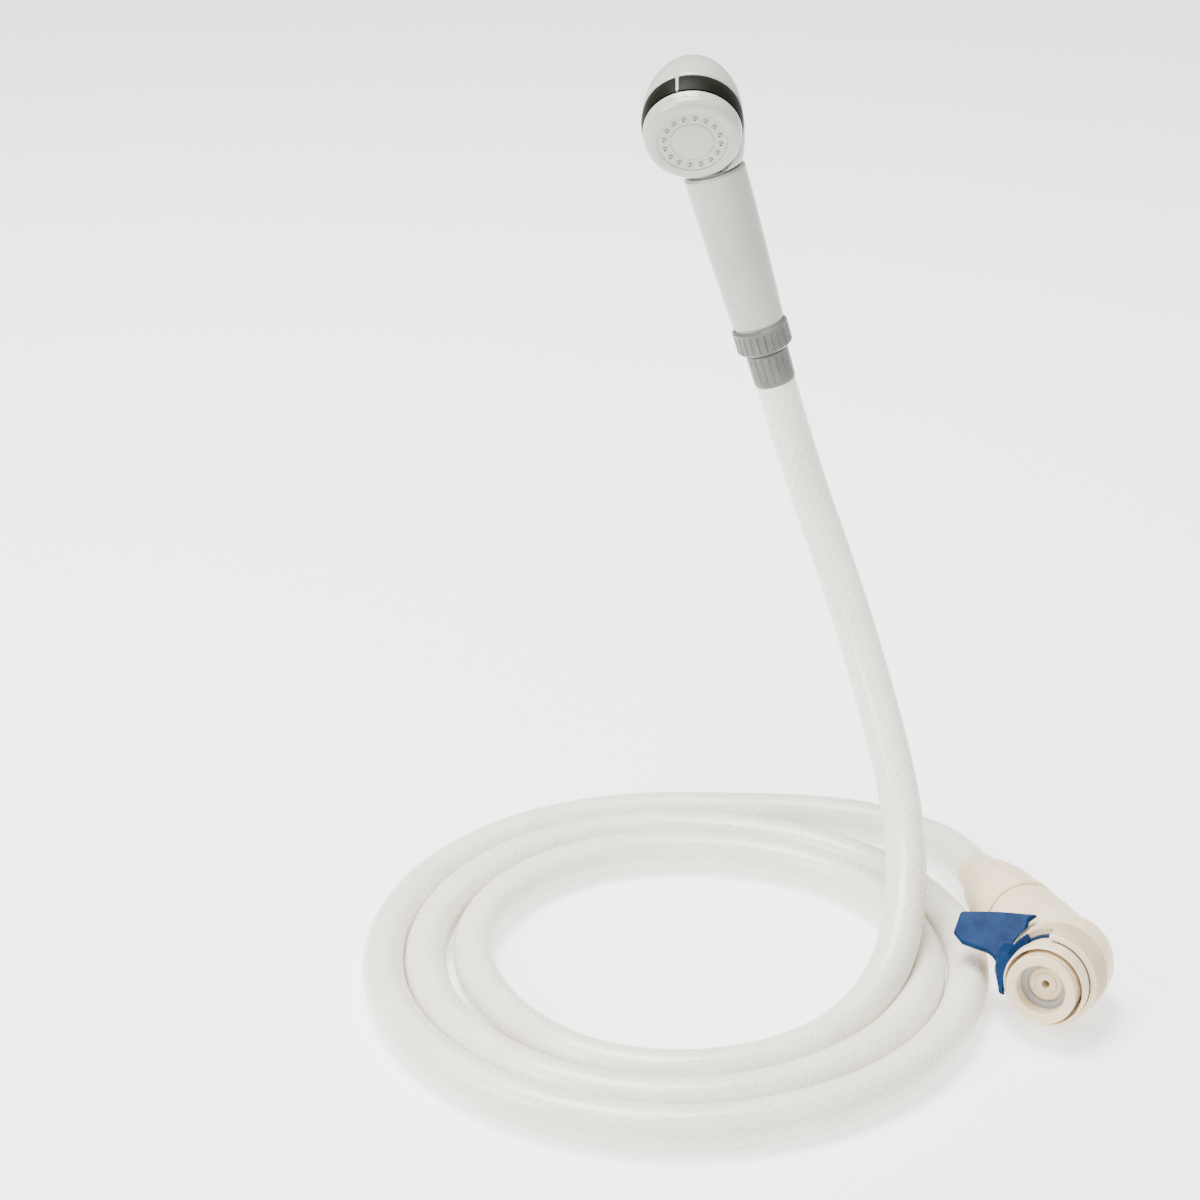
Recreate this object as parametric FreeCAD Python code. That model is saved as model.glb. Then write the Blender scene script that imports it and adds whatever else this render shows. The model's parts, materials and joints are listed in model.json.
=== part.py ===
"""Handheld bath sprayer: shower head on a handle, floor coil of vinyl hose, quick coupler.

Millimetres, +Z up. The origin is the middle of the grip, on the handle's axis. The handset leans to
the -X side and its spray face looks towards -Y, turned a little to -X. The hose coil and the coupler
lie on the floor, which is the plane z = floor_z.
"""
import FreeCAD
import Part
import math
import os
from FreeCAD import Vector, Placement, Rotation

# ---- driving dimensions: how the handset is held -----------------------------------------------
lean = 17.0                 # handle from the vertical, towards -X
turn = 9.0                  # spray face from -Y, towards -X
floor_z = -268.5            # the floor below the grip's middle
coil_x = -26.8              # centre of the coil on the floor
coil_y = -130.0

# ---- driving dimensions: handset ---------------------------------------------------------------
handle_bottom = -35.0       # along the handle's axis
handle_top = 32.8
handle_bottom_r = 11.0
handle_middle_r = 12.3
handle_top_r = 13.0
handle_wall = 2.2
tube_r = 6.5                # water tube inside the handle
tube_bore_r = 4.5
thread_r = 10.2             # male hose thread at the handle's foot
thread_length = 6.0
face_forward = 20.0         # spray face centre, in front of the handle's axis
face_side = -1.5            # beside it
face_height = 51.0          # and above the grip's middle
face_tilt = 22.0            # spray face looks down by this angle from square to the handle
face_r = 19.9
face_ring_depth = 7.4
band_r = 20.6
band_end = 17.0             # depth of the band's rear edge behind the spray face
dome_depth = 44.5
shell_wall = 2.0
grip_flutes = 20
jet_circle_r = 11.4
jet_count = 16
centre_cap_r = 8.6

# ---- driving dimensions: hose and its fittings ---------------------------------------------------
hose_d = 17.0
nut_r = 11.9
nut_length = 11.0
nut_flutes = 24
ferrule_length = 15.0
ferrule_r = 8.9
ferrule_ribs = 18
coil_outer_r = 125.6
coil_inner_r = 74.5

# ---- driving dimensions: coupler -----------------------------------------------------------------
elbow = (155.3, -24.9, 20.0)    # elbow centre from the coil's centre on the floor
socket_turn = 28.0              # mouth axis from -Y, towards -X
socket_rise = 9.0               # mouth axis above the horizontal
housing_turn = 16.0             # housing axis from +Y, towards -X, going back to the hose
housing_fall = 4.6
knuckle_r = 19.2
neck_r = 15.5
neck_end = 21.0
sleeve_r = 13.9
mouth = 32.0                    # the mouth's rim, along the socket's axis
socket_r = 9.8
socket_floor = 24.0
socket_wall_start = 25.5        # the spigot's wall begins above the seal
valve_bore_r = 9.0
housing_r = 15.8
sleeve_start = 40.0
sleeve_end = 71.0
gland_end = 84.0
paddle_thickness = 3.2
lever_start = 13.8
window_start = 97.0             # the lever's window in the collar, from the right, anticlockwise
window_end = 210.0

hose_r = hose_d / 2


# ---- shapes ------------------------------------------------------------------------------------
def outline_face(outline, place_point):
    """Closed flat face. An entry of four numbers is an arc: its middle point, then its end."""
    first = place_point(*outline[0])
    here = first
    edges = []
    for entry in outline[1:]:
        end = place_point(*entry[-2:])
        if len(entry) == 4:
            edges.append(Part.Arc(here, place_point(*entry[:2]), end).toShape())
        else:
            edges.append(Part.LineSegment(here, end).toShape())
        here = end
    edges.append(Part.LineSegment(here, first).toShape())
    return Part.Face(Part.Wire(edges))


def turned(*outline):
    """Solid of revolution about Z from (radius, height) entries."""
    face = outline_face(outline, lambda radius, height: Vector(radius, 0, height))
    return face.revolve(Vector(0, 0, 0), Vector(0, 0, 1), 360)


def tube(outer, inner, low, high):
    """Plain ring about Z."""
    return turned((inner, low), (outer, low), (outer, high), (inner, high))


def rod(radius, low, high, x=0.0, y=0.0):
    """Cylinder along Z."""
    return Part.makeCylinder(radius, high - low, Vector(x, y, low))


def block(low, high):
    """Box between two corners."""
    return Part.makeBox(high[0] - low[0], high[1] - low[1], high[2] - low[2], Vector(*low))


def sector(shape, start, end):
    """The part of a shape about Z that lies between two angles less than 180 degrees apart."""
    reach = 60.0
    middle = (start + end) / 2
    spread = []
    for angle in (start, middle, end):
        spread.append((reach * math.cos(math.radians(angle)), reach * math.sin(math.radians(angle))))
    wedge = outline_face([(0, 0)] + spread, lambda x, y: Vector(x, y, -reach))
    return shape.common(wedge.extrude(Vector(0, 0, 2 * reach)))


def around(count, shape, start=0.0):
    """Copies of a shape, evenly spaced about Z, as one compound."""
    copies = []
    for index in range(count):
        copy = shape.copy()
        copy.rotate(Vector(0, 0, 0), Vector(0, 0, 1), start + 360.0 * index / count)
        copies.append(copy)
    return Part.makeCompound(copies)


def oval(x, y, z, x_radius, y_radius, slope):
    """Closed oval wire about a point, its long way along X, tipped up towards the back."""
    wire = Part.Wire(Part.Ellipse(Vector(0, 0, 0), x_radius, y_radius).toShape())
    wire.rotate(Vector(0, 0, 0), Vector(1, 0, 0), slope)
    wire.translate(Vector(x, y, z))
    return wire


def join(base, extra):
    """One solid from touching or overlapping solids."""
    return base.fuse(extra).removeSplitter()


# ---- frames --------------------------------------------------------------------------------------
def floor_point(x, y, z):
    """Point from the coil's centre on the floor."""
    return Vector(coil_x + x, coil_y + y, floor_z + z)


handset_turn = Rotation(Vector(0, 1, 0), -lean).multiply(Rotation(Vector(0, 0, 1), -turn))
handset = Placement(Vector(0, 0, 0), handset_turn)
head_seat = Placement(
    Vector(face_side, -face_forward, face_height), Rotation(Vector(1, 0, 0), face_tilt - 90))
head = handset.multiply(head_seat)
socket_rotation = Rotation(Vector(0, 0, 1), -socket_turn).multiply(
    Rotation(Vector(1, 0, 0), 90 - socket_rise))
socket = Placement(floor_point(*elbow), socket_rotation)
back_rotation = Rotation(Vector(0, 0, 1), housing_turn).multiply(
    Rotation(Vector(1, 0, 0), -90 - housing_fall))
back = Placement(floor_point(*elbow), back_rotation)

parts = {}


def keep(name, shape, placement=None):
    """Store a sub-part, moved from its own frame to the row's frame."""
    if placement is not None:
        shape = shape.transformShape(placement.toMatrix(), True)
    parts[name] = shape


# ---- handset: handle and what is inside it -------------------------------------------------------
tail_low = handle_bottom - thread_length
washer_low = tail_low - 1.8
flange_low = washer_low - 1.6
nut_low = flange_low - 2.0
ferrule_high = nut_low - 0.4
ferrule_low = ferrule_high - ferrule_length


def make_handle_shell():
    """Slightly barrelled tapering sleeve, open through its length."""
    return turned(
        (handle_bottom_r - handle_wall, handle_bottom),
        (handle_bottom_r - 0.8, handle_bottom),
        (handle_bottom_r, handle_bottom + 0.8),
        (handle_middle_r, 0.0, handle_top_r, handle_top - 1.0),
        (handle_top_r - 0.8, handle_top),
        (handle_top_r - handle_wall, handle_top))


def make_water_tube():
    """Tube through the handle, with a male thread at its foot and a seat ring at its top."""
    outline = [(tube_bore_r, tail_low), (thread_r - 0.6, tail_low)]
    height = tail_low
    pitch = thread_length / 4
    for _ in range(4):
        outline.append((thread_r, height + 0.35 * pitch))
        outline.append((thread_r, height + 0.65 * pitch))
        outline.append((thread_r - 0.6, height + pitch))
        height += pitch
    outline += [
        (thread_r - 0.6, handle_bottom - 0.1),
        (handle_bottom_r - handle_wall - 0.2, handle_bottom - 0.1),
        (handle_bottom_r - handle_wall - 0.2, handle_bottom + 4.0),
        (tube_r, handle_bottom + 6.0),
        (tube_r, handle_top + 0.7),
        (tube_bore_r, handle_top + 0.7)]
    return turned(*outline)


def make_neck_seal():
    """Soft ring in the seam between handle and neck."""
    return tube(handle_top_r - 2.4, tube_r + 0.2, handle_top + 0.1, handle_top + 0.8)


def make_hose_nut():
    """Union nut with flutes, turning freely on the male thread."""
    body = turned(
        (6.6, nut_low), (nut_r - 1.2, nut_low), (nut_r, nut_low + 1.2),
        (nut_r, nut_low + nut_length - 1.0), (nut_r - 1.0, nut_low + nut_length),
        (thread_r + 0.35, nut_low + nut_length), (thread_r + 0.35, nut_low + 1.7), (6.6, nut_low + 1.7))
    flute = rod(0.85, nut_low - 1, nut_low + nut_length - 2.2, nut_r + 0.25)
    return body.cut(around(nut_flutes, flute))


def make_hose_tail():
    """Barbed insert: flange under the washer, neck through the nut, barb in the hose."""
    return turned(
        (tube_bore_r, ferrule_low + 1.0), (5.3, ferrule_low + 1.0), (5.9, ferrule_low + 4.0),
        (5.4, ferrule_low + 4.0), (5.9, ferrule_low + 7.0), (5.4, ferrule_low + 7.0),
        (5.9, ferrule_low + 10.0), (5.4, ferrule_low + 10.0), (5.9, ferrule_high),
        (6.2, ferrule_high), (6.2, flange_low), (9.6, flange_low), (9.6, washer_low - 0.05),
        (tube_bore_r, washer_low - 0.05))


def make_ferrule():
    """Tapered sleeve round the hose end, with long grip ribs."""
    body = turned(
        (5.95, ferrule_low), (ferrule_r - 0.6, ferrule_low), (ferrule_r, ferrule_low + 0.8),
        (ferrule_r + 0.2, ferrule_high - 1.0), (ferrule_r - 0.6, ferrule_high), (5.95, ferrule_high))
    groove = rod(0.55, ferrule_low + 1.6, ferrule_high - 1.6, ferrule_r + 0.3)
    return body.cut(around(ferrule_ribs, groove))


def make_inlet_washer():
    """Flat rubber washer between the thread's end and the hose tail."""
    return tube(9.4, 5.2, washer_low, tail_low - 0.05)


def make_inlet_screen():
    """Perforated steel disc held in the washer's hole."""
    disc = rod(5.1, washer_low + 0.4, washer_low + 1.0)
    holes = [rod(0.45, washer_low, washer_low + 2)]
    for ring, count in ((1.6, 6), (3.0, 12), (4.2, 16)):
        holes.append(around(count, rod(0.4, washer_low, washer_low + 2, ring)))
    return disc.cut(Part.makeCompound(holes))


# ---- handset: head. The head's own frame has Z running back from the spray face, -Y upwards ------
def make_rear_housing():
    """Dome and neck in one shell, with the thin key that crosses the band."""
    dome = turned(
        (0, band_end + 0.1), (band_r - 0.7, band_end + 0.1), (band_r - 0.3, band_end + 0.9),
        (18.6, 29.0, 13.4, 40.2),
        (9.7, 43.2, 4.6, dome_depth),
        (0, dome_depth))
    hollow = turned(
        (0, band_end + 2.0), (band_r - 2.6, band_end + 2.0),
        (16.6, 29.0, 11.6, 38.2),
        (8.4, 41.2, 3.8, dome_depth - shell_wall),
        (0, dome_depth - shell_wall))
    key = block((-0.7, -band_r - 0.15, face_ring_depth + 0.5), (0.7, -band_r + 1.4, band_end + 1.6))
    neck_low = handle_top + 0.9
    rings = [
        oval(0.0, 0.0, neck_low, handle_top_r - 0.5, handle_top_r - 0.6, 0.0),
        oval(0.0, 0.1, neck_low + 1.2, handle_top_r + 0.1, handle_top_r - 0.1, 1.0),
        oval(-0.4, 0.9, neck_low + 5.5, 15.2, 12.8, 6.0),
        oval(-1.0, 2.2, neck_low + 12.0, 17.6, 12.6, 14.0),
        oval(face_side, 3.2, neck_low + 24.0, 17.2, 11.4, face_tilt)]
    neck = Part.makeLoft(rings, True, False)
    passage = Part.makeCylinder(2.6, 12.0, Vector(0, 1.0, neck_low - 2.0), Vector(0, 4.5, 10.0))
    to_head = head_seat.inverse().toMatrix()
    neck = neck.transformShape(to_head, True)
    passage = passage.transformShape(to_head, True)
    swept = rod(band_r + 0.35, -40.0, band_end + 0.1)
    body = dome.fuse(neck.cut(swept)).fuse(key)
    return body.removeSplitter().cut(hollow).cut(passage)


def make_accent_band():
    """Dark crowned ring, notched for the housing's key."""
    band = turned(
        (18.2, face_ring_depth + 0.4), (band_r - 0.5, face_ring_depth + 0.4),
        (band_r, (face_ring_depth + band_end) / 2, band_r - 0.5, band_end),
        (18.2, band_end))
    return band.cut(block((-0.8, -band_r - 2, 0), (0.8, -band_r + 1.5, band_end + 1)))


def make_flow_chamber():
    """Cup behind the spray face: the face ring turns on it and the water tube feeds it."""
    cup = turned(
        (0, band_end), (18.1, band_end), (18.1, face_ring_depth + 0.3), (16.9, face_ring_depth + 0.3),
        (16.9, 4.4), (15.2, 4.4), (15.2, 14.0), (0, 14.0))
    post = rod(3.4, 6.2, 15.0)
    pilot = rod(1.5, 5.0, 13.0)
    feed = rod(3.6, 12.0, 20.0, 0.0, 8.0)
    return join(cup, post).cut(pilot).cut(feed)


def make_face_seal():
    """Rubber ring between the chamber's lip and the flow distributor."""
    return tube(15.1, 13.9, 5.0, 6.4)


def make_flow_distributor():
    """Disc with slots that sends the water to one ring of jets or the other."""
    disc = rod(13.8, 4.2, 6.1)
    slots = around(8, block((8.6, -1.2, 4.0), (12.2, 1.2, 6.5)))
    inner = around(6, rod(0.9, 4.0, 6.5, 5.6))
    return disc.cut(slots).cut(inner).cut(rod(1.9, 4.0, 6.5))


def make_centre_screw():
    """Screw on the head's axis that holds distributor and face to the chamber's post."""
    screw = join(rod(1.4, 4.0, 12.5), rod(3.1, 2.3, 4.15))
    return screw.cut(block((-2.2, -0.4, 1.5), (2.2, 0.4, 3.2)))


def make_face_ring():
    """Bezel with flutes on its shoulder. It turns to choose the spray."""
    body = turned(
        (17.4, face_ring_depth), (face_r - 0.3, face_ring_depth), (face_r, face_ring_depth - 0.6),
        (face_r - 0.5, face_ring_depth - 3.4),
        (18.6, 1.1, 15.6, 0.0),
        (14.1, 0.2), (14.1, 2.2), (17.4, 3.4))
    flute = rod(1.15, -1.0, face_ring_depth - 2.6, face_r + 0.35)
    flute.rotate(Vector(face_r, 0, face_ring_depth - 2.6), Vector(0, 1, 0), -16)
    return body.cut(around(grip_flutes, flute, 9.0))


def make_nozzle_plate():
    """Round plate that carries the jets, slightly dished towards its centre."""
    plate = turned(
        (2.2, 0.9), (centre_cap_r + 0.2, 0.9), (centre_cap_r + 0.2, 0.4),
        (14.0, 0.5), (14.0, 2.0), (2.2, 2.0))
    return plate.cut(around(jet_count, rod(1.0, -1.0, 3.0, jet_circle_r)))


def make_nozzle_mat():
    """Soft mat behind the plate whose nubs stand out through the plate's holes."""
    mat = tube(13.6, 7.0, 2.05, 2.75)
    nub = turned((0.45, 2.5), (0.95, 2.5), (0.9, 0.2), (0.7, -0.7), (0.45, -0.7))
    nub.translate(Vector(jet_circle_r, 0, 0))
    outlet = rod(0.45, 1.0, 3.5, jet_circle_r)
    body = mat
    for copy in around(jet_count, nub).Solids:
        body = body.fuse(copy)
    return body.cut(around(jet_count, outlet)).removeSplitter()


def make_centre_cap():
    """Smooth domed cap over the screw."""
    return turned((0, -0.6), (1.5, -0.6), (5.5, -0.4, centre_cap_r, 0.3), (centre_cap_r, 0.85), (0, 0.85))


# ---- coupler: socket side. Its frame has Z out of the mouth, X to the right, Y up ----------------
def make_elbow_body():
    """Knuckle with the socket's neck on one side and the housing's tube on the other."""
    knuckle = Part.makeSphere(knuckle_r)
    neck = rod(neck_r, 0.0, neck_end)
    to_socket = socket.inverse().multiply(back).toMatrix()
    arm = turned(
        (0, 0), (housing_r + 1.8, 0), (housing_r + 1.3, 24.0),
        (housing_r + 0.4, sleeve_start - 2.6), (housing_r - 0.6, sleeve_start - 2.0),
        (housing_r - 0.6, sleeve_start), (0, sleeve_start))
    arm = arm.transformShape(to_socket, True)
    arm_bore = rod(8.0, 10.0, sleeve_start + 1).transformShape(to_socket, True)
    cavity = rod(sleeve_r + 0.1, 3.0, neck_end + 1)
    water = rod(7.0, -8.0, 4.0)
    body = join(join(knuckle, neck), arm)
    return body.cut(tube(knuckle_r + 4, neck_r + 0.1, 5.0, 22.0)).cut(cavity).cut(water).cut(arm_bore)


def make_grip_collar():
    """Knurled ring clamped round the socket's neck, with a window for the lever."""
    ring = turned(
        (neck_r + 0.1, 5.05), (knuckle_r - 1.0, 5.05), (knuckle_r, 6.0),
        (knuckle_r - 0.3, neck_end - 1.4), (knuckle_r - 1.2, neck_end - 0.4),
        (neck_r + 1.1, neck_end - 0.4), (neck_r + 1.1, 13.0), (neck_r + 0.1, 13.0))
    window = turned((neck_r, 13.0), (knuckle_r + 1, 13.0), (knuckle_r + 1, neck_end), (neck_r, neck_end))
    window = sector(window, window_start, window_end)
    groove = rod(0.7, 4.0, neck_end, knuckle_r + 0.2)
    return ring.cut(window).cut(around(30, groove))


def make_lever_spring():
    """Flat return spring between collar and lever."""
    ring = tube(neck_r + 1.0, neck_r + 0.1, 13.1, 13.5)
    return ring.cut(block((0, -1.5, 12), (20, 1.5, 15)))


def make_collar_rim():
    """Front ring that keeps the lever on the neck."""
    return turned(
        (sleeve_r + 0.5, neck_end + 0.1), (neck_r + 0.6, neck_end + 0.1), (neck_r + 0.9, neck_end + 0.8),
        (neck_r + 0.8, neck_end + 5.6), (neck_r + 0.6, neck_end + 6.5, neck_r + 0.2, neck_end + 6.9),
        (sleeve_r + 1.5, neck_end + 6.9), (sleeve_r + 1.3, neck_end + 2.2), (sleeve_r + 0.5, neck_end + 1.4))


def make_mouth_sleeve():
    """Sleeve with the socket that takes the tap's spigot, slotted for the two jaws."""
    sleeve = turned(
        (valve_bore_r, 3.1), (sleeve_r, 3.1), (sleeve_r, 29.4), (sleeve_r - 1.4, 29.6),
        (sleeve_r - 1.4, mouth - 1.6), (sleeve_r, mouth - 1.3), (sleeve_r, mouth - 0.6),
        (sleeve_r - 0.25, mouth - 0.15, sleeve_r - 0.9, mouth),
        (socket_r + 0.7, mouth), (socket_r, mouth - 0.7), (socket_r, socket_wall_start),
        (socket_r + 0.6, socket_wall_start), (socket_r + 0.6, socket_floor),
        (valve_bore_r, socket_floor))
    slots = block((-sleeve_r - 1, -3.1, 25.9), (sleeve_r + 1, 3.1, 29.1))
    keep_core = rod(socket_r - 2.0, 25.0, 30.0)
    return sleeve.cut(slots.cut(keep_core))


def make_jaw(side):
    """Latch jaw in the sleeve's slot; side is -1 on the left and 1 on the right."""
    jaw = block((socket_r - 1, -2.9, 26.1), (sleeve_r - 0.4, 2.9, 28.9))
    jaw = jaw.cut(rod(socket_r + 0.1, 25.0, 30.0))
    if side < 0:
        jaw.rotate(Vector(0, 0, 0), Vector(0, 0, 1), 180)
    return jaw


def make_socket_seal():
    """Flat silicone ring on the socket's floor."""
    return tube(socket_r + 0.5, 7.3, socket_floor + 0.02, socket_floor + 1.1)


def make_valve_plate():
    """Sprung plate in the mouth, with a stepped face and a small hole at its centre."""
    return turned(
        (1.65, socket_floor + 1.1), (4.2, socket_floor + 1.1), (4.6, socket_floor + 0.7),
        (6.2, socket_floor + 0.7), (7.0, socket_floor + 0.2),
        (7.0, socket_floor - 0.2), (8.8, socket_floor - 0.2),
        (8.8, socket_floor - 2.6), (2.2, socket_floor - 2.6),
        (2.2, 9.0), (0, 9.0), (0, 15.0), (1.65, 15.0))


def make_valve_guide():
    """Spider that guides the plate's stem."""
    disc = tube(valve_bore_r - 0.02, 2.25, 10.0, 12.0)
    return disc.cut(around(6, rod(1.5, 9.0, 13.0, 5.6)))


def make_valve_spring():
    """Wire spring round the stem at its pressed length: closed coils joined by short posts."""
    pitch = 1.75
    coils = 4
    coil_r = 5.0
    wire_r = 0.5
    low = 12.1 + wire_r
    spring = Part.makeTorus(coil_r, wire_r, Vector(0, 0, low))
    for index in range(1, coils):
        height = low + index * pitch
        side = coil_r if index % 2 else -coil_r
        spring = spring.fuse(Part.makeTorus(coil_r, wire_r, Vector(0, 0, height)))
        spring = spring.fuse(rod(0.35, height - pitch, height, side))
    return spring.removeSplitter()


def make_release_lever():
    """Blue hub ring round the neck, with a leg beside the mouth and an inclined blade on the left."""
    low = lever_start
    high = neck_end - 0.3
    inner = neck_r + 0.25
    outer = inner + 3.2
    hub = tube(inner + 0.6, inner, low, low + 2.0)
    arm = sector(tube(outer, inner, low, high), 132.0, 205.0)
    shell = turned(
        (neck_r + 1.3, low), (outer + 3.4, low), (outer + 3.4, 20.0), (outer + 1.2, 24.0),
        (outer - 0.2, 27.0), (outer - 0.4, mouth - 3.0), (neck_r + 1.3, mouth - 3.0))
    leg_outline = [
        (8.0, low), (6.0, high), (-0.5, 24.0), (-6.5, 28.4), (-8.2, 27.4), (-3.2, 21.5), (-1.0, low)]
    leg_face = outline_face(leg_outline, lambda height, depth: Vector(-30, height, depth))
    leg = shell.common(leg_face.extrude(Vector(28, 0, 0)))
    blade_outline = [
        (-42.5, 7.4), (-41.9, 8.0, -40.8, 8.6), (-27.3, 12.1), (-12.8, 14.8), (-15.2, 11.6),
        (-14.6, 6.0), (-15.2, 0.0), (-16.5, -8.4), (-21.5, -10.5), (-24.2, -7.0, -29.4, -5.5),
        (-37.9, -4.8), (-42.4, -1.6)]
    blade_face = outline_face(blade_outline, lambda reach, width: Vector(reach, width, -paddle_thickness))
    blade = blade_face.extrude(Vector(0, 0, paddle_thickness))
    rounded = [edge for edge in blade.Edges if abs(edge.tangentAt(edge.FirstParameter).z) < 0.5]
    blade = blade.makeFillet(0.9, rounded)
    blade.rotate(Vector(0, 0, 0), Vector(1, 0, 0), -45)
    blade.translate(Vector(0, 8.0, 14.0))
    blade = blade.cut(rod(knuckle_r + 0.7, -30.0, low)).cut(Part.makeSphere(knuckle_r + 0.7))
    blade = blade.cut(rod(inner, 0.0, 40.0)).cut(rod(neck_r + 1.3, high, 40.0))
    body = hub
    for piece in (arm, leg, blade):
        body = body.fuse(piece)
    return body.removeSplitter()


# ---- coupler: hose side. Its frame has Z running back to the hose, -Y up -------------------------
def make_housing_sleeve():
    """Tapering cover over the hose tail, with a stepped front edge."""
    return turned(
        (9.6, sleeve_start + 0.1), (housing_r - 0.2, sleeve_start + 0.1),
        (housing_r + 0.5, sleeve_start + 0.9),
        (housing_r + 0.5, sleeve_start + 3.2), (housing_r - 0.2, sleeve_start + 4.0),
        (14.6, sleeve_end - 12.0, 12.4, sleeve_end - 0.8),
        (11.6, sleeve_end), (9.6, sleeve_end))


def make_coupler_tail():
    """Barbed tail in the elbow's tube, through the sleeve and into the gland."""
    return turned(
        (4.2, 22.0), (7.9, 22.0), (7.9, sleeve_start + 0.05), (9.5, sleeve_start + 0.15),
        (9.5, sleeve_start + 8.0), (6.0, sleeve_start + 10.0), (6.0, gland_end - 6.0),
        (5.4, gland_end - 2.0), (4.2, gland_end - 2.0))


def make_tail_seal():
    """Rubber ring where the tail meets the water passage."""
    return tube(7.9, 4.4, 20.2, 21.9)


def make_hose_gland():
    """Tapered strain relief where the hose goes in."""
    return turned(
        (6.1, sleeve_end - 18.0), (9.4, sleeve_end - 18.0),
        (9.4, sleeve_end + 0.1), (11.4, sleeve_end + 0.1),
        (11.4, sleeve_end + 1.6), (10.6, sleeve_end + 3.0), (9.5, gland_end - 4.0),
        (hose_r + 0.4, gland_end), (6.1, gland_end))


# ---- hose ---------------------------------------------------------------------------------------
def cord_route(points):
    """Wire of straight runs joined by tangent arcs, with the arcs' radii and the length."""
    edges = []
    radii = []
    here = points[0]
    for index in range(1, len(points) - 1):
        corner = points[index]
        into = corner - points[index - 1]
        out = points[index + 1] - corner
        angle = into.getAngle(out)
        reach = 0.45 * min(into.Length, out.Length)
        radii.append(reach / math.tan(angle / 2))
        into.normalize()
        out.normalize()
        start = corner - into * reach
        end = corner + out * reach
        inward = out - into
        inward.normalize()
        centre = corner + inward * (radii[-1] / math.cos(angle / 2))
        middle = centre - inward * radii[-1]
        edges.append(Part.LineSegment(here, start).toShape())
        edges.append(Part.Arc(start, middle, end).toShape())
        here = end
    edges.append(Part.LineSegment(here, points[-1]).toShape())
    wire = Part.Wire(edges)
    return wire, radii


def make_hose(name, points):
    """Solid tube along a route, with its radii and volume compared on the way."""
    wire, radii = cord_route(points)
    start = points[0]
    heading = points[1] - start
    section = Part.Wire(Part.makeCircle(hose_r, start, heading))
    solid = wire.makePipeShell([section], True, False)
    wanted = math.pi * hose_r ** 2 * wire.Length
    print(name, "length %.1f" % wire.Length, "radii", [round(radius) for radius in radii],
          "volume ratio %.4f" % (solid.Volume / wanted), "valid", solid.isValid())
    return solid


def make_coil():
    """Closed solid of the outer shape of the coil's turns, lying on the floor."""
    edge = 7.0
    bulge = 0.3 * edge
    ring = turned(
        (coil_inner_r, edge), (coil_inner_r + bulge, bulge, coil_inner_r + edge, 0),
        (coil_outer_r - edge, 0), (coil_outer_r - bulge, bulge, coil_outer_r, edge),
        (coil_outer_r, hose_d - edge),
        (coil_outer_r - bulge, hose_d - bulge, coil_outer_r - edge, hose_d),
        (coil_inner_r + edge, hose_d),
        (coil_inner_r + bulge, hose_d - bulge, coil_inner_r, hose_d - edge))
    ring.translate(floor_point(0, 0, 0))
    return ring


hose_exit = handset.multVec(Vector(0, 0, ferrule_low - 0.05))
gland_face = back.multVec(Vector(0, 0, gland_end + 0.05))
exit_heading = handset.multVec(Vector(0, 0, ferrule_low - 44.0))
gland_heading = back.multVec(Vector(0, 0, gland_end + 24.0))
riser_route = [
    hose_exit, exit_heading,
    floor_point(73.5, 110.0, 128.0), floor_point(88.0, 77.0, 86.0),
    floor_point(97.0, 38.0, 53.0), floor_point(97.0, 4.0, 29.0), floor_point(88.0, -28.0, 15.0)]
lead_route = [
    floor_point(31.0, 117.2, hose_r), floor_point(61.0, 116.2, hose_r), floor_point(88.4, 110.4, hose_r),
    floor_point(110.9, 97.4, hose_r), gland_heading, gland_face]

# ---- build and write ------------------------------------------------------------------------------
keep("handle_shell", make_handle_shell(), handset)
keep("water_tube", make_water_tube(), handset)
keep("neck_seal", make_neck_seal(), handset)
keep("hose_nut", make_hose_nut(), handset)
keep("hose_tail", make_hose_tail(), handset)
keep("hose_ferrule", make_ferrule(), handset)
keep("inlet_washer", make_inlet_washer(), handset)
keep("inlet_screen", make_inlet_screen(), handset)
keep("rear_housing", make_rear_housing(), head)
keep("accent_band", make_accent_band(), head)
keep("flow_chamber", make_flow_chamber(), head)
keep("face_seal", make_face_seal(), head)
keep("flow_distributor", make_flow_distributor(), head)
keep("centre_screw", make_centre_screw(), head)
keep("face_ring", make_face_ring(), head)
keep("nozzle_plate", make_nozzle_plate(), head)
keep("nozzle_mat", make_nozzle_mat(), head)
keep("centre_cap", make_centre_cap(), head)
keep("hose_riser", make_hose("hose_riser", riser_route))
keep("hose_coil", make_coil())
keep("hose_lead", make_hose("hose_lead", lead_route))
keep("elbow_body", make_elbow_body(), socket)
keep("grip_collar", make_grip_collar(), socket)
keep("lever_spring", make_lever_spring(), socket)
keep("collar_rim", make_collar_rim(), socket)
keep("mouth_sleeve", make_mouth_sleeve(), socket)
keep("latch_jaw_left", make_jaw(-1), socket)
keep("latch_jaw_right", make_jaw(1), socket)
keep("socket_seal", make_socket_seal(), socket)
keep("valve_plate", make_valve_plate(), socket)
keep("valve_guide", make_valve_guide(), socket)
keep("valve_spring", make_valve_spring(), socket)
keep("release_lever", make_release_lever(), socket)
keep("housing_sleeve", make_housing_sleeve(), back)
keep("coupler_tail", make_coupler_tail(), back)
keep("tail_seal", make_tail_seal(), back)
keep("hose_gland", make_hose_gland(), back)

os.makedirs("parts", exist_ok=True)
for name, shape in parts.items():
    solids = shape.Solids
    print(name, "solids", len(solids), "valid", shape.isValid(), "volume %.0f" % shape.Volume)
    shape.exportStep("parts/" + name + ".step")
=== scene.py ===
"""Handheld bath sprayer on a studio floor: its moulded finishes, vinyl hose and knurled collar.

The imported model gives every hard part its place, in metres. This file adds the surfaces of those
parts, the hose as one smooth curve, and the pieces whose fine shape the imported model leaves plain.
"""

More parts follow.
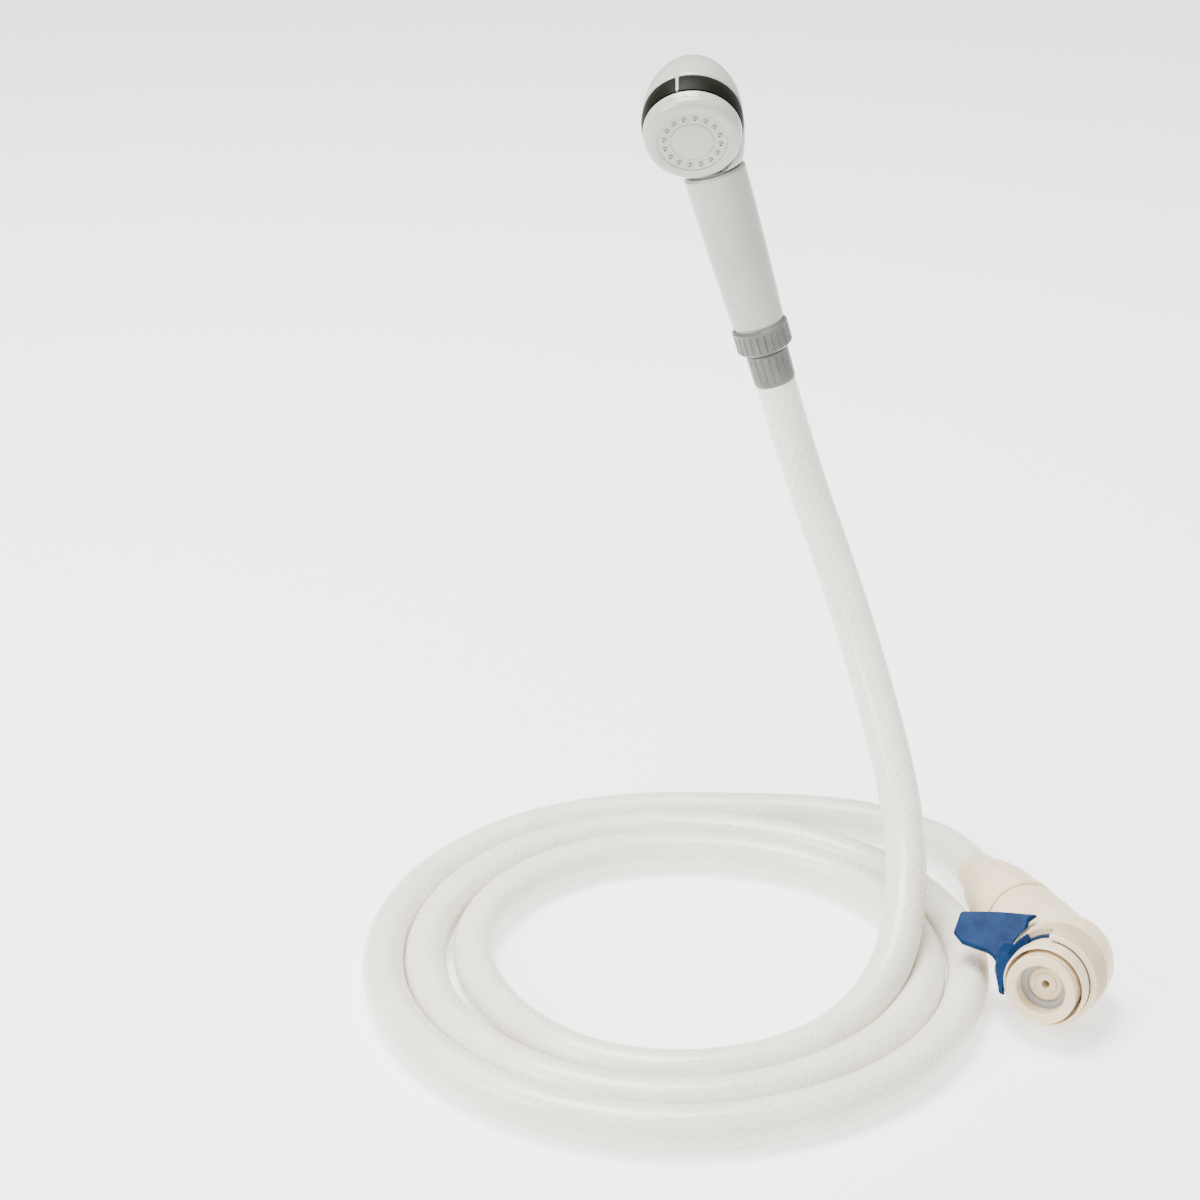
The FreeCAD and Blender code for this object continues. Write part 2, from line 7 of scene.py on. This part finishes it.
import json
import logging
import math
from collections.abc import Iterable, Mapping, Sequence
from dataclasses import dataclass, field, replace
from enum import Enum
from typing import Any, Union

import bmesh
import bpy
from mathutils import Euler, Matrix, Vector

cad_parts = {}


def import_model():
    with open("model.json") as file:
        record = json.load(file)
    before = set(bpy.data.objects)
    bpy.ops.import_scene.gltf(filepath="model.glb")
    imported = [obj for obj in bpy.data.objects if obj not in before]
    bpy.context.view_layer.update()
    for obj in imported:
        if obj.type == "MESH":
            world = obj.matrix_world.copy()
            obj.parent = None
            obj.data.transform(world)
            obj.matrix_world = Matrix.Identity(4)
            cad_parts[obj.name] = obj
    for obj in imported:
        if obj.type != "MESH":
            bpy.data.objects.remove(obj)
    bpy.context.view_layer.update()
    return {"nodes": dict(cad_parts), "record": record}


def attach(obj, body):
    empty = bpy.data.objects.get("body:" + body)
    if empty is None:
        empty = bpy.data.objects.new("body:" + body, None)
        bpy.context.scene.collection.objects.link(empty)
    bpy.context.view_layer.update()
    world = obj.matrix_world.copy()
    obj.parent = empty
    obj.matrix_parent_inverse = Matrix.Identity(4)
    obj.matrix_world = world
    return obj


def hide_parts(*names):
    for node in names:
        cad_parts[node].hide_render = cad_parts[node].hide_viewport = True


log = logging.getLogger("bath_sprayer")

Triple = tuple[float, float, float]
Colour = Triple
Number = Union[float, "Value"]

FLOOR_HEIGHT = -0.2685
COIL_CENTRE = Vector((-0.0268, -0.1300, FLOOR_HEIGHT))


class Slot(Enum):
    """Material slots of the record, each with the parts that wear it."""

    WHITE_PLASTIC = "white_plastic"
    BLACK_PLASTIC = "black_plastic"
    GREY_CLEAR_PLASTIC = "grey_clear_plastic"
    CREAM_PLASTIC = "cream_plastic"
    BLUE_PLASTIC = "blue_plastic"
    VINYL_HOSE = "vinyl_hose"
    SILICONE = "silicone"
    DARK_RUBBER = "dark_rubber"
    STEEL = "steel"
    INNER_PLASTIC = "inner_plastic"


# ---- shader maths ------------------------------------------------------------------------------
class Value:
    """One number socket of a shader, with the arithmetic that adds Math nodes."""

    def __init__(self, graph: "Graph", socket: bpy.types.NodeSocket) -> None:
        """Wraps an output socket.

        Args:
            graph: the material's graph, which receives the new nodes.
            socket: the output that carries the number.
        """
        self.graph = graph
        self.socket = socket

    def _math(self, operation: str, first: Number, second: Number) -> "Value":
        """Adds one Math node.

        Args:
            operation: the node's operation.
            first: its first input.
            second: its second input.

        Returns:
            The node's result.
        """
        return self.graph.add("ShaderNodeMath", {"operation": operation}, {0: first, 1: second})

    def __add__(self, other: Number) -> "Value":
        """Sum."""
        return self._math("ADD", self, other)

    __radd__ = __add__

    def __sub__(self, other: Number) -> "Value":
        """Difference."""
        return self._math("SUBTRACT", self, other)

    def __rsub__(self, other: Number) -> "Value":
        """Difference from a plain number."""
        return self._math("SUBTRACT", other, self)

    def __mul__(self, other: Number) -> "Value":
        """Product."""
        return self._math("MULTIPLY", self, other)

    __rmul__ = __mul__

    def sine(self) -> "Value":
        """Sine of the value in radians."""
        return self._math("SINE", self, 0.0)

    def maximum(self, other: Number) -> "Value":
        """The larger of two values."""
        return self._math("MAXIMUM", self, other)

    def ramp(self, low: float, high: float) -> "Value":
        """Smooth step of the value, from 0 at low to 1 at high.

        Args:
            low: the value that gives 0.
            high: the value that gives 1.

        Returns:
            The stepped value.
        """
        return self.graph.add(
            "ShaderNodeMapRange",
            {"interpolation_type": "SMOOTHSTEP"},
            {"Value": self, "From Min": low, "From Max": high},
            "Result",
        )


class Graph:
    """A material's node graph, ending in one Principled surface."""

    def __init__(self, name: str) -> None:
        """Makes an empty material with a Principled surface.

        Args:
            name: the material's name.
        """
        self.material = bpy.data.materials.new(name)
        self.material.use_nodes = True
        self.tree = self.material.node_tree
        self.surface = next(n for n in self.tree.nodes if n.type == "BSDF_PRINCIPLED")

    def add(
        self,
        kind: str,
        settings: Mapping[str, Any],
        inputs: Mapping[Union[int, str], Any],
        output: Union[int, str] = 0,
    ) -> Value:
        """Adds any node.

        Args:
            kind: the node's type.
            settings: the node's own options, set before its sockets.
            inputs: a number, a colour or another socket for each input named.
            output: the output to carry on with.

        Returns:
            That output.
        """
        node = self.tree.nodes.new(kind)
        for name, setting in settings.items():
            setattr(node, name, setting)
        for name, value in inputs.items():
            self._feed(node.inputs[name], value)
        return Value(self, node.outputs[output])

    def _feed(self, socket: bpy.types.NodeSocket, value: Any) -> None:
        """Sets or links one input.

        Args:
            socket: the input.
            value: a number, a colour, a vector or another socket.
        """
        if isinstance(value, Value):
            self.tree.links.new(value.socket, socket)
        elif socket.type == "RGBA" and len(value) == 3:
            socket.default_value = (*value, 1.0)
        else:
            socket.default_value = value

    def place(self, space: str = "Object") -> Value:
        """Position on the part: its own space, or the run and girth of a curve's skin.

        Args:
            space: the Texture Coordinate output.

        Returns:
            The vector.
        """
        return self.add("ShaderNodeTexCoord", {}, {}, space)

    def noise(self, scale: float, detail: float = 4.0, roughness: float = 0.55) -> Value:
        """Cloudy noise over the part.

        Args:
            scale: how many clouds to a metre.
            detail: octaves.
            roughness: strength of the finer octaves.

        Returns:
            The noise, about 0.5.
        """
        inputs = {"Vector": self.place(), "Scale": scale, "Detail": detail, "Roughness": roughness}
        return self.add("ShaderNodeTexNoise", {}, inputs, "Fac")

    def blend(self, factor: Number, first: Any, second: Any) -> Value:
        """Mixes two colours.

        Args:
            factor: share of the second colour.
            first: a colour or a colour socket.
            second: the same.

        Returns:
            The mixed colour.
        """
        settings = {"data_type": "RGBA", "clamp_factor": True}
        return self.add("ShaderNodeMix", settings, {0: factor, 6: first, 7: second}, 2)

    def bump(self, height: Number, distance: float) -> Value:
        """Turns a height into a shading normal.

        Args:
            height: the height, from 0 to 1.
            distance: metres that a height of 1 stands for.

        Returns:
            The normal.
        """
        inputs = {"Height": height, "Distance": distance, "Strength": 1.0}
        return self.add("ShaderNodeBump", {}, inputs, "Normal")

    def finish(self, inputs: Mapping[str, Any]) -> bpy.types.Material:
        """Feeds the Principled surface.

        Args:
            inputs: values or sockets by input name.

        Returns:
            The finished material.
        """
        for name, value in inputs.items():
            self._feed(self.surface.inputs[name], value)
        return self.material


# ---- finishes ----------------------------------------------------------------------------------
@dataclass(frozen=True)
class MouldedPlastic:
    """Injection-moulded plastic: a faint mottle in the colour, spark texture and handling marks.

    A piece whose mesh carries the depth of its grooves, under the name in groove, gets painted shade in
    them, in the shadow colour.
    """

    name: str
    colour: Colour
    deep: Colour
    gloss: float
    mottle: float = 34.0
    grain: float = 2600.0
    grain_height: float = 0.00002
    clear_coat: float = 0.0
    glow: float = 0.0
    shine: float = 0.5
    # painted shade colour, laid into the knurl's grooves
    shadow: Colour = (0.30, 0.22, 0.13)
    groove: str = ""

    def material(self) -> bpy.types.Material:
        """Builds the material."""
        graph = Graph(self.name)
        clouds = graph.noise(self.mottle).ramp(0.36, 0.68)
        smears = graph.noise(self.mottle * 4.0, 6.0, 0.7).ramp(0.42, 0.74)
        speckle = graph.noise(self.grain, 2.0)
        colour = graph.blend(clouds * 0.55 + smears * 0.25, self.colour, self.deep)
        # painted shade: the grooves' depth darkens the colour towards the shadow colour
        if self.groove:
            painted_groove_shade = graph.add("ShaderNodeAttribute", {"attribute_name": self.groove}, {}, "Fac")
            colour = graph.blend(painted_groove_shade * 0.75, colour, self.shadow)
        roughness = self.gloss + clouds * 0.05 + smears * 0.07
        return graph.finish(
            {
                "Base Color": colour,
                "Roughness": roughness,
                "Normal": graph.bump(speckle, self.grain_height),
                "Coat Weight": self.clear_coat,
                "Coat Roughness": 0.12,
                "Specular IOR Level": self.shine,
                "Subsurface Weight": self.glow,
                "Subsurface Radius": (0.004, 0.004, 0.003),
                "Subsurface Scale": 0.6,
            }
        )


CREAM = MouldedPlastic("cream_plastic", (0.80, 0.665, 0.455), (0.68, 0.54, 0.35), 0.36, 40.0, glow=0.08)


@dataclass(frozen=True)
class BraidedVinyl:
    """Milky vinyl hose: a glassy skin over a faint woven yarn that shows as a cross-hatch."""

    name: str
    skin: Colour
    yarn: Colour
    length: float
    yarn_pitch: float = 0.0042
    yarns_round: int = 12

    def material(self) -> bpy.types.Material:
        """Builds the material."""
        graph = Graph(self.name)
        skin = graph.place("UV")
        run = graph.add("ShaderNodeSeparateXYZ", {}, {0: skin}, "X")
        girth = graph.add("ShaderNodeSeparateXYZ", {}, {0: skin}, "Y")
        along = run * (math.tau * self.length / self.yarn_pitch)
        round_it = girth * (math.tau * self.yarns_round)
        right_hand = (along + round_it).sine().ramp(0.55, 1.0)
        left_hand = (along - round_it).sine().ramp(0.55, 1.0)
        yarn = right_hand.maximum(left_hand)
        haze = graph.noise(42.0, 5.0).ramp(0.35, 0.7)
        ripple = graph.noise(160.0, 3.0)
        colour = graph.blend(yarn * 0.45 + haze * 0.25, self.skin, self.yarn)
        return graph.finish(
            {
                "Base Color": colour,
                "Roughness": 0.26 + haze * 0.1 + yarn * 0.05,
                "Normal": graph.bump(yarn * 0.4 + ripple, 0.00012),
                "Coat Weight": 0.35,
                "Coat Roughness": 0.1,
                "Subsurface Weight": 0.35,
                "Subsurface Radius": (0.006, 0.006, 0.0055),
                "Subsurface Scale": 0.8,
            }
        )


@dataclass(frozen=True)
class BrushedSteel:
    """Drawn stainless steel with fine draw lines."""

    name: str
    colour: Colour
    stained: Colour = (0.42, 0.41, 0.38)
    roughness: float = 0.3
    draw_lines: Triple = (900.0, 900.0, 60.0)

    def material(self) -> bpy.types.Material:
        """Builds the material."""
        graph = Graph(self.name)
        stretch = graph.add("ShaderNodeMapping", {}, {"Vector": graph.place(), "Scale": self.draw_lines})
        lines = graph.add("ShaderNodeTexNoise", {}, {"Vector": stretch, "Scale": 1.0, "Detail": 3.0}, "Fac")
        stain = graph.noise(90.0).ramp(0.4, 0.75)
        return graph.finish(
            {
                "Base Color": graph.blend(stain, self.colour, self.stained),
                "Metallic": 1.0,
                "Roughness": self.roughness + lines * 0.18,
                "Normal": graph.bump(lines, 0.00001),
            }
        )


@dataclass(frozen=True)
class Rubber:
    """Matt rubber or silicone with a slight bloom."""

    name: str
    colour: Colour
    bloom: Colour
    roughness: float = 0.62

    def material(self) -> bpy.types.Material:
        """Builds the material."""
        graph = Graph(self.name)
        dust = graph.noise(120.0, 6.0, 0.7).ramp(0.45, 0.8)
        pores = graph.noise(3200.0, 2.0)
        return graph.finish(
            {
                "Base Color": graph.blend(dust * 0.6, self.colour, self.bloom),
                "Roughness": self.roughness + dust * 0.15,
                "Normal": graph.bump(pores, 0.00002),
            }
        )


@dataclass
class Wardrobe:
    """Every finish of the sprayer, by the record's slot."""

    hose_length: float
    made: dict[Slot, bpy.types.Material] = field(default_factory=dict)

    def sew(self) -> None:
        """Builds each finish once."""
        finishes = {
            Slot.WHITE_PLASTIC: MouldedPlastic(
                "white_plastic", (0.39, 0.40, 0.35), (0.335, 0.34, 0.295), 0.24, clear_coat=0.2, glow=0.05
            ),
            Slot.BLACK_PLASTIC: MouldedPlastic(
                "black_plastic", (0.003, 0.003, 0.001), (0.006, 0.0058, 0.003), 0.45,
                grain_height=0.00004, shine=0.08,
            ),
            Slot.GREY_CLEAR_PLASTIC: MouldedPlastic(
                "grey_clear_plastic", (0.125, 0.13, 0.112), (0.07, 0.073, 0.062), 0.3, 60.0, glow=0.2
            ),
            Slot.CREAM_PLASTIC: CREAM,
            Slot.BLUE_PLASTIC: MouldedPlastic(
                "blue_plastic", (0.0, 0.022, 0.085), (0.0, 0.010, 0.045), 0.42, 110.0, shine=0.1
            ),
            Slot.VINYL_HOSE: BraidedVinyl(
                "vinyl_hose", (0.74, 0.71, 0.60), (0.90, 0.885, 0.80), self.hose_length
            ),
            Slot.SILICONE: Rubber("silicone", (0.36, 0.36, 0.34), (0.44, 0.44, 0.42), 0.5),
            Slot.DARK_RUBBER: Rubber("dark_rubber", (0.025, 0.024, 0.022), (0.06, 0.058, 0.055)),
            Slot.STEEL: BrushedSteel("steel", (0.62, 0.61, 0.58)),
            Slot.INNER_PLASTIC: MouldedPlastic(
                "inner_plastic", (0.66, 0.64, 0.58), (0.56, 0.54, 0.48), 0.45
            ),
        }
        for slot, finish in finishes.items():
            self.made[slot] = finish.material()
            log.info("finish %s", slot.value)

    def dress(self, piece: bpy.types.Object, slot: Slot) -> None:
        """Gives a piece one of the finishes.

        Args:
            piece: a part or a new piece.
            slot: the finish.
        """
        piece.data.materials.clear()
        piece.data.materials.append(self.made[slot])

    def dress_knurl(self, piece: bpy.types.Object, groove: str) -> None:
        """Gives a knurled piece the cream finish, with painted shade in its grooves.

        Args:
            piece: the knurled piece.
            groove: the name under which its mesh keeps the grooves' depth.
        """
        piece.data.materials.append(replace(CREAM, name="cream_knurl", groove=groove).material())

    def dress_nodes(self, nodes: Mapping[str, bpy.types.Object], record: Mapping[str, Any]) -> None:
        """Dresses every carried-over part by its slot in the record.

        Args:
            nodes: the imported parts.
            record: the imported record.
        """
        for part in record["subparts"]:
            self.dress(nodes[part["node"]], Slot(part["material_slot"]))
            log.info("dressed %s in %s", part["node"], part["material_slot"])


# ---- hose --------------------------------------------------------------------------------------
def smooth_step(value: float, low: float, high: float) -> float:
    """Smooth step from 0 at low to 1 at high.

    Args:
        value: the position.
        low: where the step starts.
        high: where it ends.

    Returns:
        The share done.
    """
    share = min(max((value - low) / (high - low), 0.0), 1.0)
    return share * share * (3.0 - 2.0 * share)


@dataclass(frozen=True)
class Drift:
    """A change of the coil's radius, from one angle of winding to another, in degrees and metres."""

    start: float
    end: float
    change: float

    def at(self, wound: float) -> float:
        """The change so far at an angle of winding."""
        return self.change * smooth_step(wound, self.start, self.end)


@dataclass(frozen=True)
class Bulge:
    """A change of the coil's radius that comes and goes."""

    rise: tuple[float, float]
    fall: tuple[float, float]
    change: float

    def at(self, wound: float) -> float:
        """The change at an angle of winding."""
        return self.change * smooth_step(wound, *self.rise) * (1.0 - smooth_step(wound, *self.fall))


@dataclass
class Hose:
    """The vinyl hose: down from the handset, nearly three turns on the floor, and into the coupler."""

    diameter: float = 0.017
    length: float = 2.15
    exit: Vector = field(default_factory=lambda: Vector((0.01808, 0.0, -0.05915)))
    first_turn: float = 36.0
    last_turn: float = 985.0
    turn_points: int = 49
    inner_turn: float = 0.0842
    corner_allowance: float = 1.012
    lanes: tuple[Drift, ...] = (
        Drift(36.0, 76.0, -0.0012),
        Drift(270.0, 350.0, 0.0175),
        Drift(630.0, 710.0, 0.0171),
    )
    bulges: tuple[Bulge, ...] = (
        Bulge((100.0, 150.0), (150.0, 210.0), -0.0040),
        Bulge((345.0, 368.0), (385.0, 420.0), 0.0028),
        Bulge((690.0, 722.0), (748.0, 790.0), 0.0028),
    )
    riser: tuple[tuple[float, float, float], ...] = (
        (0.0735, 0.1100, 0.1280),
        (0.0880, 0.0770, 0.0860),
        (0.0970, 0.0380, 0.0530),
        (0.0955, 0.0040, 0.0300),
        (0.0860, -0.0275, 0.0165),
    )
    lead: tuple[tuple[float, float, float], ...] = (
        (0.0310, 0.1172, 0.0085),
        (0.0610, 0.1162, 0.0085),
        (0.0884, 0.1104, 0.0085),
        (0.1109, 0.0974, 0.0085),
    )
    exit_heading: Vector = field(default_factory=lambda: Vector((0.03093, 0.0, -0.10118)))
    gland_heading: Vector = field(default_factory=lambda: Vector((0.09883, -0.05142, -0.25716)))
    gland_face: Vector = field(default_factory=lambda: Vector((0.10541, -0.07437, -0.25524)))

    def turn_radius(self, wound: float) -> float:
        """Distance of the hose's centreline from the coil's axis.

        Args:
            wound: degrees wound so far, from the coil's right-hand side.

        Returns:
            The distance in metres.
        """
        radius = self.inner_turn + sum(change.at(wound) for change in (*self.lanes, *self.bulges))
        return radius * self.corner_allowance

    def route(self) -> list[Vector]:
        """Control points of the whole hose, from the handset to the coupler."""
        points = [self.exit, self.exit_heading]
        points += [COIL_CENTRE + Vector(point) for point in self.riser]
        for step in range(self.turn_points):
            wound = self.first_turn + (self.last_turn - self.first_turn) * step / (self.turn_points - 1)
            angle = -math.radians(wound)
            radius = self.turn_radius(wound)
            offset = Vector((radius * math.cos(angle), radius * math.sin(angle), self.diameter / 2))
            points.append(COIL_CENTRE + offset)
        points += [COIL_CENTRE + Vector(point) for point in self.lead]
        points += [self.gland_heading, self.gland_face]
        return points

    def build(self) -> bpy.types.Object:
        """Makes the hose as one smooth curve.

        Returns:
            The curve object.
        """
        curve = bpy.data.curves.new("hose", "CURVE")
        curve.dimensions = "3D"
        curve.bevel_depth = self.diameter / 2
        curve.bevel_resolution = 10
        curve.resolution_u = 12
        curve.use_fill_caps = True
        spline = curve.splines.new("NURBS")
        points = self.route()
        spline.points.add(len(points) - 1)
        for control, point in zip(spline.points, points):
            control.co = (*point, 1.0)
        spline.order_u = 3
        spline.use_endpoint_u = True
        hose = bpy.data.objects.new("hose", curve)
        bpy.context.scene.collection.objects.link(hose)
        log.info("hose of %d control points", len(points))
        return hose

    def declare(self, hose: bpy.types.Object) -> None:
        """Hangs the hose on the root body and hides the imported hose parts that it stands for.

        Args:
            hose: the curve.
        """
        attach(hose, "root")
        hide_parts("hose_riser", "hose_coil", "hose_lead")


# ---- moulded pieces ----------------------------------------------------------------------------
def new_piece(
    name: str, mesh: bpy.types.Mesh, body: str, nodes: Sequence[str]
) -> bpy.types.Object:
    """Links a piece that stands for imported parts.

    Args:
        name: the piece's name.
        mesh: its mesh, in metres in the row's frame.
        body: the body that it moves with.
        nodes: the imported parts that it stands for.

    Returns:
        The piece.
    """
    piece = bpy.data.objects.new(name, mesh)
    bpy.context.scene.collection.objects.link(piece)
    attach(piece, body)
    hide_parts(*nodes)
    return piece


@dataclass
class SoftShell:
    """A moulded part with the soft edges and blended corners that a mould gives it."""

    node: str
    body: str
    slot: Slot
    grid: float
    passes: int

    def build(self, nodes: Mapping[str, bpy.types.Object]) -> bpy.types.Object:
        """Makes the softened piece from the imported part's shape.

        Args:
            nodes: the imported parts.

        Returns:
            The piece that stands for the part.
        """
        blank = bpy.data.objects.new(f"{self.node}_blank", nodes[self.node].data.copy())
        bpy.context.scene.collection.objects.link(blank)
        grid = blank.modifiers.new("grid", "REMESH")
        grid.mode = "VOXEL"
        grid.voxel_size = self.grid
        grid.use_smooth_shade = True
        ease = blank.modifiers.new("ease", "SMOOTH")
        ease.factor = 0.5
        ease.iterations = self.passes
        bpy.context.view_layer.update()
        evaluated = blank.evaluated_get(bpy.context.evaluated_depsgraph_get())
        mesh = bpy.data.meshes.new_from_object(evaluated)
        mesh.name = f"{self.node}_soft"
        bpy.data.objects.remove(blank)
        log.info("softened %s into %d faces", self.node, len(mesh.polygons))
        return new_piece(f"{self.node}_soft", mesh, self.body, [self.node])


@dataclass
class KnurledCollar:
    """Ring with a fine diamond knurl round the coupler's neck, open on the left for the lever."""

    centre: Vector = field(default_factory=lambda: Vector((0.1285, -0.1549, -0.2485)))
    swing: float = 28.0
    rise: float = 9.0
    inner_radius: float = 0.0156
    front_inner_radius: float = 0.0166
    outer_radius: float = 0.0192
    front_radius: float = 0.0189
    back: float = 0.00505
    split: float = 0.0130
    front: float = 0.0206
    window: tuple[float, float] = (97.0, 210.0)
    diamonds: int = 60
    depth: float = 0.0008
    steps_to_a_diamond: int = 8
    row: float = 0.0002
    back_margin: float = 0.00125
    front_margin: float = 0.0013
    edge: float = 0.0009
    groove: str = "groove"

    def knurl(self, angle: float, height: float) -> float:
        """How far the surface lies below the diamonds' tips.

        Args:
            angle: round the neck, in radians.
            height: along the neck, in metres.

        Returns:
            The depth in metres.
        """
        pitch = math.tau * self.outer_radius / self.diamonds
        turns = angle * self.diamonds / math.tau
        leans = [abs(2.0 * ((turns + side * height / pitch) % 1.0) - 1.0) for side in (-1.0, 1.0)]
        return self.depth * (1.0 - min(1.0, 1.25 * min(leans)))

    def profile(self, low: float, high: float, inner: float) -> list[tuple[float, float, bool]]:
        """Outline of a stretch of the ring.

        Args:
            low: where the stretch starts along the neck.
            high: where it ends.
            inner: its inner radius.

        Returns:
            Radius, height and whether the knurl cuts each point.
        """
        points: list[tuple[float, float, bool]] = [(inner, low, False)]
        start, end = max(low, self.back + self.back_margin), min(high, self.front - self.front_margin)
        if low <= self.back:
            points.append((self.outer_radius - 0.001, low, False))
            points.append((self.outer_radius - 0.00005, low + self.edge, False))
        rows = int((end - start) / self.row)
        for row in range(rows + 1):
            height = start + (end - start) * row / rows
            share = (height - self.back) / (self.front - self.back)
            radius = self.outer_radius + (self.front_radius - self.outer_radius) * share
            points.append((radius, height, True))
        if high >= self.front:
            points.append((self.front_radius - 0.0001, high - self.edge, False))
            points.append((self.front_radius - self.edge, high, False))
        points.append((inner, high, False))
        return points

    def sweep(
        self, mesh: bmesh.types.BMesh, outline: Sequence[tuple[float, float, bool]], start: float, end: float
    ) -> None:
        """Turns an outline about the neck into a closed skin.

        Args:
            mesh: receives the skin.
            outline: radius, height and knurl of each point.
            start: first angle in degrees.
            end: last angle; a full turn closes on itself.
        """
        groove = mesh.verts.layers.float[self.groove]
        whole = abs(end - start - 360.0) < 1e-6
        steps = int(self.diamonds * self.steps_to_a_diamond * (end - start) / 360.0)
        rings = []
        for step in range(steps if whole else steps + 1):
            angle = math.radians(start + (end - start) * step / steps)
            ring = []
            for radius, height, painted_groove_shade in outline:
                sunk = self.knurl(angle, height) if painted_groove_shade else 0.0
                reach = radius - sunk
                corner = mesh.verts.new((reach * math.cos(angle), reach * math.sin(angle), height))
                # the depth share, which the cream finish turns into painted shade in the grooves
                corner[groove] = sunk / self.depth
                ring.append(corner)
            rings.append(ring)
        pairs = list(zip(rings, rings[1:])) + ([(rings[-1], rings[0])] if whole else [])
        for here, there in pairs:
            for index in range(len(outline)):
                after = (index + 1) % len(outline)
                mesh.faces.new((here[index], there[index], there[after], here[after]))
        if not whole:
            mesh.faces.new(rings[0])
            mesh.faces.new(list(reversed(rings[-1])))

    def build(self) -> bpy.types.Object:
        """Makes the collar in its place.

        Returns:
            The piece that stands for the collar.
        """
        skin = bmesh.new()
        skin.verts.layers.float.new(self.groove)
        self.sweep(skin, self.profile(self.back, self.split, self.inner_radius), 0.0, 360.0)
        front = self.profile(self.split, self.front, self.front_inner_radius)
        self.sweep(skin, front, self.window[1], self.window[0] + 360.0)
        bmesh.ops.recalc_face_normals(skin, faces=skin.faces[:])
        seat = Matrix.Rotation(-math.radians(self.swing), 4, "Z") @ Matrix.Rotation(
            math.radians(90.0 - self.rise), 4, "X"
        )
        skin.transform(Matrix.Translation(self.centre) @ seat)
        mesh = bpy.data.meshes.new("grip_collar_knurled")
        skin.to_mesh(mesh)
        skin.free()
        mesh.shade_smooth()
        mesh.set_sharp_from_angle(angle=math.radians(50.0))
        log.info("knurled collar of %d faces", len(mesh.polygons))
        return new_piece("grip_collar_knurled", mesh, "root", ["grip_collar"])


# ---- studio ------------------------------------------------------------------------------------
@dataclass
class Studio:
    """Pale floor, soft lights and the camera."""

    eye: Vector = field(default_factory=lambda: Vector((-0.0560, -0.9810, 0.2840)))
    look_down: float = 24.4
    lens: float = 73.5
    floor_size: float = 12.0
    floor_glow: float = 1.2
    room_light: float = 0.85

    def camera(self) -> bpy.types.Object:
        """Adds the camera and makes it the scene's."""
        data = bpy.data.cameras.new("camera")
        data.lens = self.lens
        data.sensor_width = 36.0
        camera = bpy.data.objects.new("camera", data)
        camera.location = self.eye
        camera.rotation_euler = Euler((math.radians(90.0 - self.look_down), 0.0, 0.0))
        bpy.context.scene.collection.objects.link(camera)
        bpy.context.scene.camera = camera
        return camera

    def floor(self) -> bpy.types.Object:
        """Adds the floor, which belongs to the stage."""
        half = self.floor_size / 2
        mesh = bpy.data.meshes.new("studio_floor")
        corners = [(-half, -half), (half, -half), (half, half), (-half, half)]
        mesh.from_pydata([(x, y, FLOOR_HEIGHT) for x, y in corners], [], [(0, 1, 2, 3)])
        graph = Graph("studio_floor")
        tone = graph.noise(1.6, 3.0)
        shade = graph.blend(tone, (0.90, 0.90, 0.90), (0.86, 0.86, 0.86))
        glow = {"Emission Color": (1.0, 1.0, 1.0), "Emission Strength": self.floor_glow}
        mesh.materials.append(graph.finish({"Base Color": shade, "Roughness": 0.85} | glow))
        floor = bpy.data.objects.new("studio_floor", mesh)
        bpy.context.scene.collection.objects.link(floor)
        return floor

    def lamp(self, name: str, place: Triple, target: Triple, size: float, power: float) -> None:
        """Adds one square soft light.

        Args:
            name: the light's name.
            place: where it hangs.
            target: where it points.
            size: its side in metres.
            power: its power in watts.
        """
        data = bpy.data.lights.new(name, "AREA")
        data.size = size
        data.energy = power
        lamp = bpy.data.objects.new(name, data)
        lamp.location = place
        aim = Vector(target) - Vector(place)
        lamp.rotation_euler = aim.to_track_quat("-Z", "Y").to_euler()
        bpy.context.scene.collection.objects.link(lamp)

    def light(self) -> None:
        """Hangs the soft lights and sets the room's own light."""
        self.lamp("overhead_light", (-0.35, 0.15, 1.6), (0.0, -0.1, -0.2), 1.0, 92.0)
        self.lamp("left_light", (-1.4, -0.8, 0.9), (0.0, -0.1, -0.1), 0.8, 34.0)
        self.lamp("front_light", (0.7, -1.8, 0.9), (0.0, -0.1, -0.1), 1.4, 14.0)
        world = bpy.context.scene.world or bpy.data.worlds.new("studio_room")
        bpy.context.scene.world = world
        world.use_nodes = True
        background = next(n for n in world.node_tree.nodes if n.type == "BACKGROUND")
        background.inputs["Color"].default_value = (1.0, 1.0, 1.0, 1.0)
        background.inputs["Strength"].default_value = self.room_light


SOFT_SHELLS = (
    SoftShell("rear_housing", "root", Slot.WHITE_PLASTIC, 0.00045, 8),
    SoftShell("elbow_body", "root", Slot.CREAM_PLASTIC, 0.0004, 6),
    SoftShell("release_lever", "lever", Slot.BLUE_PLASTIC, 0.00028, 5),
)


def main() -> None:
    """Builds the scene."""
    logging.basicConfig(level=logging.INFO, format="%(message)s")
    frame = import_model()

    studio = Studio()
    studio.camera()
    hose = Hose()
    hose_curve = hose.build()

    wardrobe = Wardrobe(hose.length)
    wardrobe.sew()
    wardrobe.dress_nodes(frame["nodes"], frame["record"])
    wardrobe.dress(hose_curve, Slot.VINYL_HOSE)

    knurled = KnurledCollar()
    collar = knurled.build()
    wardrobe.dress_knurl(collar, knurled.groove)
    softened = {shell.node: shell.build(frame["nodes"]) for shell in SOFT_SHELLS}
    for shell in SOFT_SHELLS:
        wardrobe.dress(softened[shell.node], shell.slot)
    hose.declare(hose_curve)

    studio.floor()
    studio.light()


if __name__ == "__main__":
    main()
